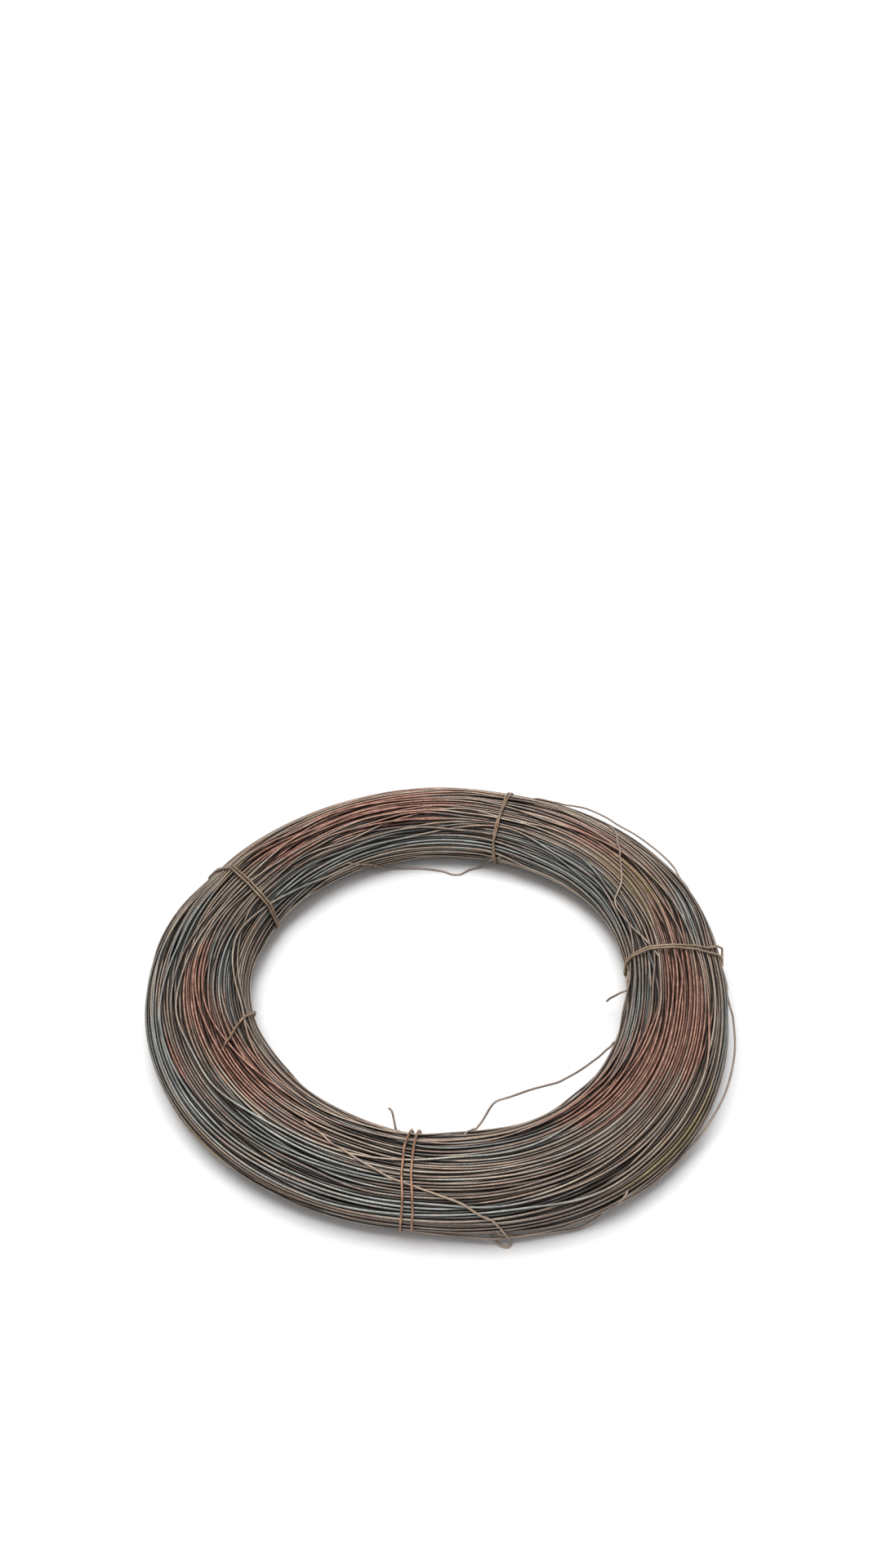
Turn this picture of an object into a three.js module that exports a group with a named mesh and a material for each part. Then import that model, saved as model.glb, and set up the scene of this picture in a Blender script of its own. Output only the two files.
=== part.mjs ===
/**
 * Coil of annealed steel tying wire, lying on its side on a level floor.
 *
 * Hundreds of turns of thin round wire lie in one bundle, bent into a ring. The bundle is
 * modelled as one solid whose surface shows its turns. Its section is a squarish oval that its own
 * weight presses flat beneath, and each tie draws it in. The ties and the lengths of wire that have
 * come away from the bundle are wires of their own.
 *
 * Millimetres, +Z up. The origin is on the floor, at the middle of the bounding box.
 *   bearing  degrees round the ring, counter-clockwise from +X as seen from above
 *   around   degrees round the bundle's section: 0 is its outer side, 90 its top, 180 its bore side
 *            and 270 its base
 *   off      the clear distance between the bundle's surface and a wire that lies along it
 */
import * as THREE from 'three';

// ---------------------------------------------------------------- driving sizes

const COIL_OD = 510; // over the outermost turns, as a mean of all bearings
const COIL_ID = 336; // the open bore, in the same way
const COIL_HEIGHT = 48; // from the floor to the top of the bundle
const BASE_SAG = 3; // depth of the oval that lies pressed flat on the floor
const SQUARENESS = 2.3; // exponent of the oval: 2 is an ellipse, and more is squarer

const WIRE_D = 1.8; // the coiled wire
const TURN_GAP = 0.7; // between two neighbouring turns on the bundle's surface
const LAY_WANDER = 4; // how far the turns sway across the bundle
const LAY_WAVES = 5; // how often they sway in one lap

// The ring isn't quite round: it bulges by `height` at `count` bearings, the first of them `bearing`.
const LOBES = [
  { count: 3, height: 3.9, bearing: 62 },
  { count: 4, height: 1.4, bearing: 39 },
];

const TIE_D = 2; // the wire of the ties
const GAP = 0.3; // left between two pieces that touch
const BRIDGE = 0.8; // from a wire to the crests of the turns that it lies across
const RUN_GAP = 0.7; // between the two runs of a tie that lie side by side
const PINCH_REACH = 33; // how far on each side of a tie the bundle is drawn in

// Each tie goes round the bundle twice, in two runs whose middles are `spacing` apart. It leans by
// `lean` degrees of bearing from the bundle's middle to its bore side. A bow is a slack place in its
// second run, which rises from the bundle at `around` and comes back to it within `reach` degrees.
const SIDE_BY_SIDE = TIE_D + RUN_GAP;
const TIE_FRONT = { bearing: 263.4, spacing: 8.5, lean: 0 };
const TIE_RIGHT = { bearing: 5, spacing: SIDE_BY_SIDE, lean: 0, bow: { around: 10, rise: 3.4, reach: 48 } };
const TIE_BACK = { bearing: 73.4, spacing: SIDE_BY_SIDE, lean: 0 };
const TIE_BACK_LEFT = { bearing: 152, spacing: SIDE_BY_SIDE, lean: 2.6 };
const TIES = [TIE_RIGHT, TIE_BACK, TIE_BACK_LEFT, TIE_FRONT]; // in order of bearing

// A tie's course round the section, in degrees of around that count on into the second lap.
const TIE_START = -36;
const TIE_END = 600;
const CROSS_OVER = { from: 222, to: 318 }; // beneath the bundle, from the first run to the second

// ---------------------------------------------------------------- faceting

const SECTION_STEP = 15; // most degrees of bearing between two sections of the bundle
const WRAP_STEP = 12; // degrees round the section between two bends of a tie
const WIRE_SIDES = 6;

// ---------------------------------------------------------------- derived sizes

const MEAN_RADIUS = (COIL_OD + COIL_ID) / 4;
const HALF_WIDTH = (COIL_OD - COIL_ID) / 4;
const HALF_HEIGHT = (COIL_HEIGHT + BASE_SAG) / 2;
const CENTRE_HEIGHT = HALF_HEIGHT - BASE_SAG;
const TURN_PITCH = WIRE_D + TURN_GAP;
const GROOVE_DEPTH = 0.45 * WIRE_D; // as deep as the eye sees between two round turns
const OVER_TURN = BRIDGE + WIRE_D + GAP; // the off of a wire that passes over another loose length
const PINCH_DEPTH = GAP + TIE_D + BRIDGE; // lets a tie pass between the bundle and the floor

function radians(degrees) {
  return THREE.MathUtils.degToRad(degrees);
}

function bearingOf(arc) {
  return THREE.MathUtils.radToDeg(arc / MEAN_RADIUS);
}

// ---------------------------------------------------------------- the bundle's form

/** Distance of the bundle's middle line from the ring's centre. */
function ringRadius(bearing) {
  const bulge = (lobe) => lobe.height * Math.cos(lobe.count * radians(bearing - lobe.bearing));
  return LOBES.reduce((radius, lobe) => radius + bulge(lobe), MEAN_RADIUS);
}

/** Bearing from a tie's middle to the far side of its runs. */
function halfSpan(tie) {
  return bearingOf(tie.spacing / 2) + tie.lean;
}

/** How far the nearest tie draws the bundle in at a bearing. */
function pinchAt(bearing) {
  const reach = bearingOf(PINCH_REACH);
  const share = TIES.map((tie) => {
    const turn = THREE.MathUtils.euclideanModulo(bearing - tie.bearing + 180, 360) - 180;
    return THREE.MathUtils.clamp(1 - (Math.abs(turn) - halfSpan(tie)) / reach, 0, 1);
  });
  return PINCH_DEPTH * Math.max(...share);
}

/**
 * The bundle's outline in its own section, X outwards from its middle line and Y up from the floor.
 * As a curve it runs over the open part only, from the outer edge of the flat base over the top to
 * the base's inner edge.
 */
class BundleOutline extends THREE.Curve {
  constructor(inset) {
    super();
    this.halfWidth = HALF_WIDTH - inset;
    this.halfHeight = HALF_HEIGHT - inset;
    this.base = inset;
    const cut = (CENTRE_HEIGHT - this.base) / this.halfHeight;
    this.baseCorner = -Math.asin(Math.pow(cut, SQUARENESS / 2));
  }

  at(angle, target = new THREE.Vector2()) {
    const power = (value) => Math.sign(value) * Math.pow(Math.abs(value), 2 / SQUARENESS);
    const height = CENTRE_HEIGHT + this.halfHeight * power(Math.sin(angle));
    return target.set(this.halfWidth * power(Math.cos(angle)), Math.max(height, this.base));
  }

  normal(angle) {
    if (Math.sin(angle) < Math.sin(this.baseCorner)) return new THREE.Vector2(0, -1);
    const power = (value) => Math.sign(value) * Math.pow(Math.abs(value), 2 - 2 / SQUARENESS);
    const across = power(Math.cos(angle)) / this.halfWidth;
    const up = power(Math.sin(angle)) / this.halfHeight;
    return new THREE.Vector2(across, up).normalize();
  }

  getPoint(t, target) {
    return this.at(THREE.MathUtils.lerp(this.baseCorner, Math.PI - this.baseCorner, t), target);
  }
}

/** Bearings of the bundle's sections: at each tie's runs and reach, and evenly in between. */
function sectionBearings() {
  const reach = bearingOf(PINCH_REACH);
  return TIES.flatMap((tie, index) => {
    const next = TIES[(index + 1) % TIES.length];
    const nextBearing = next.bearing > tie.bearing ? next.bearing : next.bearing + 360;
    const from = tie.bearing + halfSpan(tie) + reach;
    const to = nextBearing - halfSpan(next) - reach;
    const steps = Math.ceil((to - from) / SECTION_STEP);
    const between = Array.from({ length: steps + 1 }, (_, step) => from + ((to - from) * step) / steps);
    return [tie.bearing - halfSpan(tie), tie.bearing + halfSpan(tie), ...between];
  });
}

const SECTIONS = sectionBearings();

/** How far the flat between two sections falls inside the ring's curve at a bearing. */
function flatFall(bearing) {
  const turned = (place) => THREE.MathUtils.euclideanModulo(place - SECTIONS[0], 360);
  const after = SECTIONS.filter((section) => turned(section) <= turned(bearing)).length;
  const from = turned(SECTIONS[after - 1]);
  const to = after < SECTIONS.length ? turned(SECTIONS[after]) : 360;
  const fromMiddle = radians(turned(bearing) - (from + to) / 2);
  return ringRadius(bearing) * (1 - Math.cos(radians(to - from) / 2) / Math.cos(fromMiddle));
}

/** A point of the section at a bearing, placed in the ring. */
function inRing(bearing, across, height) {
  const radius = ringRadius(bearing) + across;
  const angle = radians(bearing);
  return new THREE.Vector3(radius * Math.cos(angle), radius * Math.sin(angle), height);
}

/** The middle of a wire that passes the bundle `off` clear of its surface, and never below the floor. */
function byBundle(bearing, around, off, diameter) {
  const angle = radians(around);
  const outline = new BundleOutline(pinchAt(bearing));
  const point = outline.at(angle).addScaledVector(outline.normal(angle), off + diameter / 2);
  return inRing(bearing, point.x - flatFall(bearing), Math.max(point.y, GAP + diameter / 2));
}

// ---------------------------------------------------------------- the wire coil

/** One section of the bundle: a groove and a crest for each turn, and the two edges of its base. */
function sectionPoints(bearing, turns) {
  const outline = new BundleOutline(pinchAt(bearing));
  const sway = (LAY_WANDER / outline.getLength()) * Math.sin(LAY_WAVES * radians(bearing));
  const count = 2 * turns;
  return Array.from({ length: count + 1 }, (_, index) => {
    const place = index / count;
    const along = place + sway * Math.sin(Math.PI * place);
    const point = outline.getPointAt(along);
    const isGroove = index % 2 === 0 && index > 0 && index < count;
    if (isGroove) {
      const tangent = outline.getTangentAt(along);
      point.x -= tangent.y * GROOVE_DEPTH;
      point.y += tangent.x * GROOVE_DEPTH;
      point.y = Math.max(point.y, outline.base);
    }
    return inRing(bearing, point.x, point.y);
  });
}

function wireCoilGeometry() {
  const turns = Math.round(new BundleOutline(0).getLength() / TURN_PITCH);
  const sections = SECTIONS.map((bearing) => sectionPoints(bearing, turns));
  const size = sections[0].length;
  const vertex = (section, place) => (section % sections.length) * size + (place % size);
  const index = [];
  for (let section = 0; section < sections.length; section++) {
    for (let place = 0; place < size; place++) {
      const corner = vertex(section, place);
      const opposite = vertex(section + 1, place + 1);
      index.push(corner, vertex(section + 1, place), opposite);
      index.push(corner, opposite, vertex(section, place + 1));
    }
  }
  const geometry = new THREE.BufferGeometry().setFromPoints(sections.flat());
  geometry.setIndex(index);
  geometry.computeVertexNormals();
  return geometry;
}

// ---------------------------------------------------------------- wires

/** A wire's middle line, straight from each of its bends to the next. */
class WirePath extends THREE.Curve {
  constructor(bends) {
    super();
    this.bends = bends;
  }

  getPointAt(t, target = new THREE.Vector3()) {
    const place = t * (this.bends.length - 1);
    const from = Math.min(Math.floor(place), this.bends.length - 2);
    return target.lerpVectors(this.bends[from], this.bends[from + 1], place - from);
  }

  getTangentAt(t, target = new THREE.Vector3()) {
    const bend = Math.round(t * (this.bends.length - 1));
    const before = this.bends[Math.max(bend - 1, 0)];
    const after = this.bends[Math.min(bend + 1, this.bends.length - 1)];
    return target.subVectors(after, before).normalize();
  }
}

function wireGeometry(bends, diameter) {
  const section = new THREE.Shape().absarc(0, 0, diameter / 2, 0, 2 * Math.PI);
  return new THREE.ExtrudeGeometry(section, {
    extrudePath: new WirePath(bends),
    steps: bends.length - 1,
    curveSegments: WIRE_SIDES / 2, // for each half of the circle
    bevelEnabled: false,
  });
}

/** A wire that lies smoothly along a few places by the bundle, each a bearing, an around and an off. */
function laidWire({ places, steps }, diameter) {
  const course = new THREE.CatmullRomCurve3(
    places.map((place) => new THREE.Vector3(...place)),
    false,
    'centripetal',
  );
  const bends = course.getSpacedPoints(steps).map(({ x, y, z }) => byBundle(x, y, z, diameter));
  return wireGeometry(bends, diameter);
}

/** How far a tie's second run rises off the bundle in its bow. */
function bowRise(bow, around) {
  const fromMiddle = Math.abs(around - 360 - bow.around);
  return bow.rise * THREE.MathUtils.smoothstep(bow.reach - fromMiddle, 0, bow.reach);
}

/**
 * A tie. It starts low on the outer side, goes over the top, down the bore side and under the bundle
 * to its second run, and ends under the bundle's inner edge.
 */
function tieWire({ bearing, spacing, lean, bow }) {
  const bends = [];
  for (let around = TIE_START; around <= TIE_END; around += WRAP_STEP) {
    const run = THREE.MathUtils.smoothstep(around, CROSS_OVER.from, CROSS_OVER.to);
    const rise = bow ? bowRise(bow, around) : 0;
    const side = bearingOf((run - 0.5) * spacing + rise);
    const place = bearing + side - lean * Math.cos(radians(around));
    bends.push(byBundle(place, around, BRIDGE + rise, TIE_D));
  }
  return wireGeometry(bends, TIE_D);
}

// ---------------------------------------------------------------- loose lengths

// Wire that has come away from the bundle. Each length starts and ends where it goes in among the
// turns, or at its cut end. A place is [bearing, around, off].
const LOOSE_LENGTHS = {
  // The outer turn that has sprung away between the right tie and the front one.
  sprung_turn_front: {
    steps: 36,
    places: [
      [358.5, 14, BRIDGE],
      [355, 7, BRIDGE],
      [349, 5, 1.6],
      [342, 2, 4],
      [334, -2, 4.4],
      [326, -6, 2.6],
      [316, -12, BRIDGE],
      [304, -17, BRIDGE],
      [296, -20, BRIDGE],
      [287, -22, BRIDGE],
      [279, -23, BRIDGE],
      [272, -24, BRIDGE],
      [267.4, -26, BRIDGE],
    ],
  },
  // The turn that has sprung up behind the bundle's shoulder, between the back tie and the right one.
  sprung_turn_back: {
    steps: 20,
    places: [
      [68.5, 46, BRIDGE],
      [65, 38, BRIDGE],
      [61, 35, 1.2],
      [56, 33, 3],
      [50, 31, 2.8],
      [43, 29, 2.4],
      [36, 27, 2],
      [29, 25, BRIDGE],
      [25, 17, BRIDGE],
    ],
  },
  // The turn that crosses the bundle from its outer shoulder to its bore shoulder.
  crossing_turn: {
    steps: 18,
    places: [
      [49, 42, BRIDGE],
      [45.5, 58, BRIDGE],
      [41.5, 79, BRIDGE],
      [37, 96, BRIDGE],
      [32.5, 111, BRIDGE],
      [28, 135, BRIDGE],
      [23, 146, BRIDGE],
      [15.5, 140, BRIDGE],
      [9, 128, BRIDGE],
    ],
  },
  // The coil's outer end: it leaves the front tie, runs down the bundle's side and hooks back.
  free_end_front: {
    steps: 30,
    places: [
      [267.4, 57, BRIDGE],
      [270, 50, BRIDGE],
      [273.5, 41, BRIDGE],
      [276.6, 26, BRIDGE],
      [278.8, 12, BRIDGE],
      [280.2, -4, BRIDGE + 1.2],
      [281.2, -14, OVER_TURN],
      [281.7, -24, OVER_TURN + 1.6],
      [281.4, -32, OVER_TURN + 3],
      [280.4, -36, OVER_TURN + 1.4],
      [279.2, -38, BRIDGE + 1],
      [278, -40, BRIDGE],
    ],
  },
  // The slack turn along the bundle's front foot.
  slack_turn_front: {
    steps: 18,
    places: [
      [282.8, -41, GAP],
      [286.6, -38, 1.6],
      [290, -35, 3.6],
      [293.2, -33, 5.2],
      [294.8, -33, 5],
      [297, -36, 2.6],
      [299.4, -38, BRIDGE],
      [302.6, -44, BRIDGE],
    ],
  },
  // A length that has slumped into the bore at the front.
  stray_length_in_bore: {
    steps: 24,
    places: [
      [276, 146, BRIDGE],
      [278.4, 154, BRIDGE],
      [280.6, 154, 6],
      [284.6, 155, 14],
      [288.3, 156, 15.6],
      [295.2, 157, 15.4],
      [300.4, 159, 13],
      [306.2, 162, 9.6],
      [312.6, 165, 7.4],
      [318.5, 167, 5],
      [324.8, 170, 2.4],
      [330.8, 174, BRIDGE],
      [334, 182, BRIDGE],
    ],
  },
  // The slack turn that droops to the floor inside the bore at the back.
  slack_turn_back: {
    steps: 24,
    places: [
      [116.5, 180, BRIDGE],
      [113.2, 192, BRIDGE],
      [107, 212, 4.4],
      [101.7, 214, 10],
      [97, 213, 13],
      [88.6, 209, 17],
      [85.4, 207, 20],
      [82.8, 209, 18.6],
      [80.2, 213, 12.4],
      [77.8, 210, 4],
      [76.8, 198, BRIDGE],
      [76, 190, BRIDGE],
    ],
  },
  // A cut end that stands off the bore side at the right.
  cut_end_right: {
    steps: 8,
    places: [
      [359, 166, BRIDGE],
      [355.6, 178, BRIDGE],
      [352.6, 178, 7],
      [348.6, 176, 15],
    ],
  },
  // A cut end that stands up in the bore beside the front tie.
  cut_end_front: {
    steps: 8,
    places: [
      [259.4, 172, BRIDGE],
      [258.2, 158, BRIDGE],
      [256.8, 150, 7],
      [255.4, 142, 12],
    ],
  },
};

// A short tie round the innermost turns at the left, whose ends go in among the turns.
const INNER_TIE = {
  steps: 14,
  places: [
    [207.4, 106, BRIDGE],
    [205, 117, BRIDGE],
    [201.6, 134, BRIDGE],
    [198, 153, BRIDGE],
    [194.4, 176, BRIDGE],
    [193.4, 200, BRIDGE],
    [193.4, 220, BRIDGE],
  ],
};

// ---------------------------------------------------------------- the pieces

const turnMaterial = new THREE.MeshStandardMaterial({ color: 0x665c55, roughness: 0.62, metalness: 0.55 });
const tieMaterial = new THREE.MeshStandardMaterial({ color: 0x7a6350, roughness: 0.6, metalness: 0.5 });

const coil = new THREE.Group();

function addPiece(name, geometry, material) {
  const piece = new THREE.Mesh(geometry, material);
  piece.name = name;
  coil.add(piece);
}

addPiece('wire_coil', wireCoilGeometry(), turnMaterial);

const ties = { tie_front: TIE_FRONT, tie_right: TIE_RIGHT, tie_back: TIE_BACK, tie_back_left: TIE_BACK_LEFT };
for (const [name, tie] of Object.entries(ties)) {
  addPiece(name, tieWire(tie), tieMaterial);
}
addPiece('tie_inner_left', laidWire(INNER_TIE, TIE_D), tieMaterial);

for (const [name, length] of Object.entries(LOOSE_LENGTHS)) {
  addPiece(name, laidWire(length, WIRE_D), turnMaterial);
}

const middle = new THREE.Box3().setFromObject(coil).getCenter(new THREE.Vector3());
coil.position.set(-middle.x, -middle.y, 0);

export default coil;
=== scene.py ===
"""The looks of a coil of annealed steel tying wire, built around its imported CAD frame.

Metres, +Z up. The turns are laid one by one round a dark core, and each runs a full lap of the ring.
The first ones lie side by side. The later ones each go round where the pile is lowest and slide into
the grooves beneath them. The last ones cross the others at a slant. Then come the loose lengths, which
rest on the turns wherever they touch them, and the ties, which are drawn taut round them.

  bearing  degrees round the ring, counter-clockwise from +X as seen from above
  around   degrees round the bundle's section: 0 is its outer side, 90 its top, 180 its bore side
           and 270 its base
  share    the same way round the section as a share of the outline's length, from the base's middle
  height   of a wire's middle line above the bed, which is where the lowest turns that show lie
  off      the clear distance between the bundle's outline and a wire that lies along it
"""
import math

import bpy
import numpy as np
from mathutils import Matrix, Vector


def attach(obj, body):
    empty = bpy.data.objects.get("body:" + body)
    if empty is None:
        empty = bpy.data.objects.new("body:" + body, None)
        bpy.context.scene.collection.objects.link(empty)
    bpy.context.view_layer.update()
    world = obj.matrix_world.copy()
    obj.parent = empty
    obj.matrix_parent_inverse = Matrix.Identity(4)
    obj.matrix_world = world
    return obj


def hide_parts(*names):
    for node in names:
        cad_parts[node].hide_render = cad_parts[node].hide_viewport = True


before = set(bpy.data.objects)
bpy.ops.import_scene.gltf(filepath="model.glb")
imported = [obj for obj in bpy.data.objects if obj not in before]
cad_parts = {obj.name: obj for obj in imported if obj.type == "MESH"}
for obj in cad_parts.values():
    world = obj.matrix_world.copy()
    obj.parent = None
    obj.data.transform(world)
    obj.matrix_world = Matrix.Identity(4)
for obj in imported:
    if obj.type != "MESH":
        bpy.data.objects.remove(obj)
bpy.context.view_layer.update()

MM = 0.001

# ---------------------------------------- the bundle's form

RING_CENTRE = Vector((2.95 * MM, 0.38 * MM, 0.0))
MEAN_RADIUS = 211.5 * MM
HALF_WIDTH = 43.5 * MM
COIL_HEIGHT = 48.0 * MM
BASE_SAG = 3.0 * MM
SQUARENESS = 2.2
# (count, height, bearing): the size swells by height at count bearings, one of which is bearing.
RING_LOBES = [(2, 1.3 * MM, 90), (3, 2.8 * MM, 58), (4, 1.4 * MM, 30), (5, 0.8 * MM, 26)]
WIDTH_LOBES = [(1, 1.1 * MM, 305), (2, 1.3 * MM, 0), (3, 1.8 * MM, 77), (4, 0.7 * MM, 318)]

WIRE_D = 1.8 * MM
TIE_D = 2.0 * MM

TIE_BEARINGS = (5.0, 73.4, 152.0, 263.4)
PINCH_DEPTH = 1.3 * MM  # how far a tie draws the bundle in
PINCH_REACH = 9.0  # degrees of bearing on each side of the tie

OUTLINE_POINTS = 720  # samples round the section
NORMAL_REACH = 0.004  # the share on each side of a point that its normal is taken over

# ---------------------------------------- the turns

SEED = 5
BEARINGS = 180  # samples in one lap
BED_DEPTH = 5.4 * MM  # from the bundle's outline to the bed
FIRST_TURNS = 100  # side by side on the bed
FIRST_FREEDOM = 0.03  # how much each of them wanders, as a part of SWAY and SPAN_WANDER
LATER_TURNS = 155  # each of them goes round where the pile is lowest
LATER_FREEDOM = 0.06
LATER_SLIDES = 2  # the steps in which a later turn slides into a groove
PLACES_APART = 0.5 * WIRE_D  # between the places that a later turn tries
SIDESTEP_COST = 2.5 * MM  # how much higher it would lie before it goes one place aside
START_REACH = 4  # it starts in the place that is lowest over these samples on each side
ROUTE_COST = 4.0  # the same for each metre that a crossing turn is aside from its route

# What neighbouring turns do alike:
# (waves in the lap, millimetres, phase, how often the phase turns round the section).
COMMON_DRIFT = [(1, 6.0, 0.6, 0), (2, 3.0, 2.1, 0), (3, 0.5, 4.0, 1), (1, 1.0, 0.0, 1)]
SWAY = 1.6 * MM  # over the whole lap
SWAY_WAVES = 3
SPAN_WANDER = (6.0 * MM, 6.0 * MM, 12.0 * MM, 6.0 * MM)  # sideways between each tie and the next
SLOPE_PROBE = WIRE_D / 4  # how far to each side a turn feels for a slope
STEEPEST = 1.5  # the steepest slope that it feels
SLIDE_STEP = 0.35 * WIRE_D  # how far it slides at once on a slope of 1
STEADINESS = 0.06  # how strongly a sliding turn keeps to its own course
STIFF_WAVES = 9  # the most bends that a sliding wire takes in one lap
CROSSING_WAVES = 24  # the same for a crossing one
STIFF_EDGE = 4  # how sharply the finer bends are left out
STIFF_REACH = 3  # samples over which a wire rises to pass over another
TURN_SIDES = 6
TURN_GROUPS = 6  # the pieces that the turns are shared out over

# Turns that cross over their neighbours at a slant, as (bearing, around) places. Over the rest of its
# lap each goes round where the pile is lowest.
CROSSING_TURNS = [
    [(20, 108), (17, 105), (14, 97), (10, 91), (7, 86), (4.5, 82), (1, 72), (358, 65), (354, 62)],
    [(22, 94), (19, 91), (15, 84), (11, 74), (6, 60), (2, 56)],
    [(17, 138), (14, 137), (10, 130), (6, 122), (2, 115), (354, 100), (349, 95), (344, 94)],
    [(120, 134), (115, 132), (104, 117), (91, 104), (84.5, 100), (81, 101), (76, 108), (70, 112)],
    [(112, 152), (104, 152), (93.5, 148), (83.5, 134), (79, 127), (75, 123), (69, 122)],
    [(198, 62), (193, 63), (185, 67), (177, 75), (172, 84), (166, 87), (161, 88), (154, 88)],
    [(198, 66), (193, 67), (189, 69), (184, 78), (178, 84), (171, 90), (165, 93)],
    [(196, 108), (189, 109), (179, 112), (173, 114), (166, 121), (161, 122), (154, 122)],
    [(196, 152), (190, 151), (178, 140), (173, 131), (167, 125), (162, 121), (156, 120)],
    [(210, 130), (203, 137), (196, 143), (188, 142), (180, 132), (174, 121), (168, 116)],
    [(232, 118), (222, 114), (212, 104), (202, 97), (194, 96)],
    [(306, 112), (298, 106), (290, 100), (282, 97), (272, 96)],
    [(334, 44), (324, 40), (312, 34), (302, 26), (294, 24)],
    [(62, 96), (54, 92), (46, 80), (38, 74), (30, 74)],
]

# Dark partings between bunches of turns:
# (bearing, around, reach of bearing, how far the turns part on each side).
PARTINGS = [(226, 34, 16, 1.0 * MM), (213, 19, 12, 0.8 * MM), (314, 26, 9, 0.7 * MM)]
PARTING_EDGE = 1.2 * MM  # how near its middle the turns are not yet pushed fully aside
PARTING_FADE = 7.0 * MM  # how far from a parting the turns feel it

# Painted light and shade on the turns: darker where a turn lies below its neighbours and down each
# wire's sides, lighter where it stands out.
BESIDE = 1.2 * WIRE_D  # how near a turn is to its neighbours
BURIED = 1.6 * WIRE_D  # how far beneath them a turn is as dark as the painted shade gets
CREVICE = 0.75 * WIRE_D  # how far down its side a turn is so: painted shade on each wire's sides, its crown left lightest
PAINTED_SHADE = 1.0  # how dark the painted shade in the grooves and down the wires' sides is
PAINTED_SHADE_LOBES = [(1, 0.15, 255)]  # as the ring's lobes: painted shade strongest at the front

CORE_DEPTH = 0.55 * WIRE_D  # from the lowest turns' middle lines to the core
CORE_SIDES = 48
CORE_TONE = 0.4  # how light it is, as the wires' tone fields say it

# Where the wires lie in the pattern of streaks that runs along them.
TURN_LAY = 1.7  # from each turn to the next
CORE_LAY = 0.05  # from each side of the core to the next
LOOSE_LAY = 50  # where the loose lengths and the ties start

# ---------------------------------------- loose lengths and ties

LOOSE_COURSE_STEP = 0.5  # degrees
LOOSE_STEP = 1.5 * MM
LOOSE_SIDES = 8
SINK = 2.6 * MM  # how deep the end of a loose length goes in among the turns, at an off of -1
FREE_OFF = 2  # from this off in millimetres, a loose length no longer follows the turns beneath it
TIE_COURSE_STEP = 2.0  # degrees
TIE_STEP = 1.2 * MM
TIE_SIDES = 10
TIE_LAPS = 3  # laps of around that a tie's course counts into
SLANT_PASSES = 4  # in which the place where a turn meets a slanting tie is found
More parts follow.
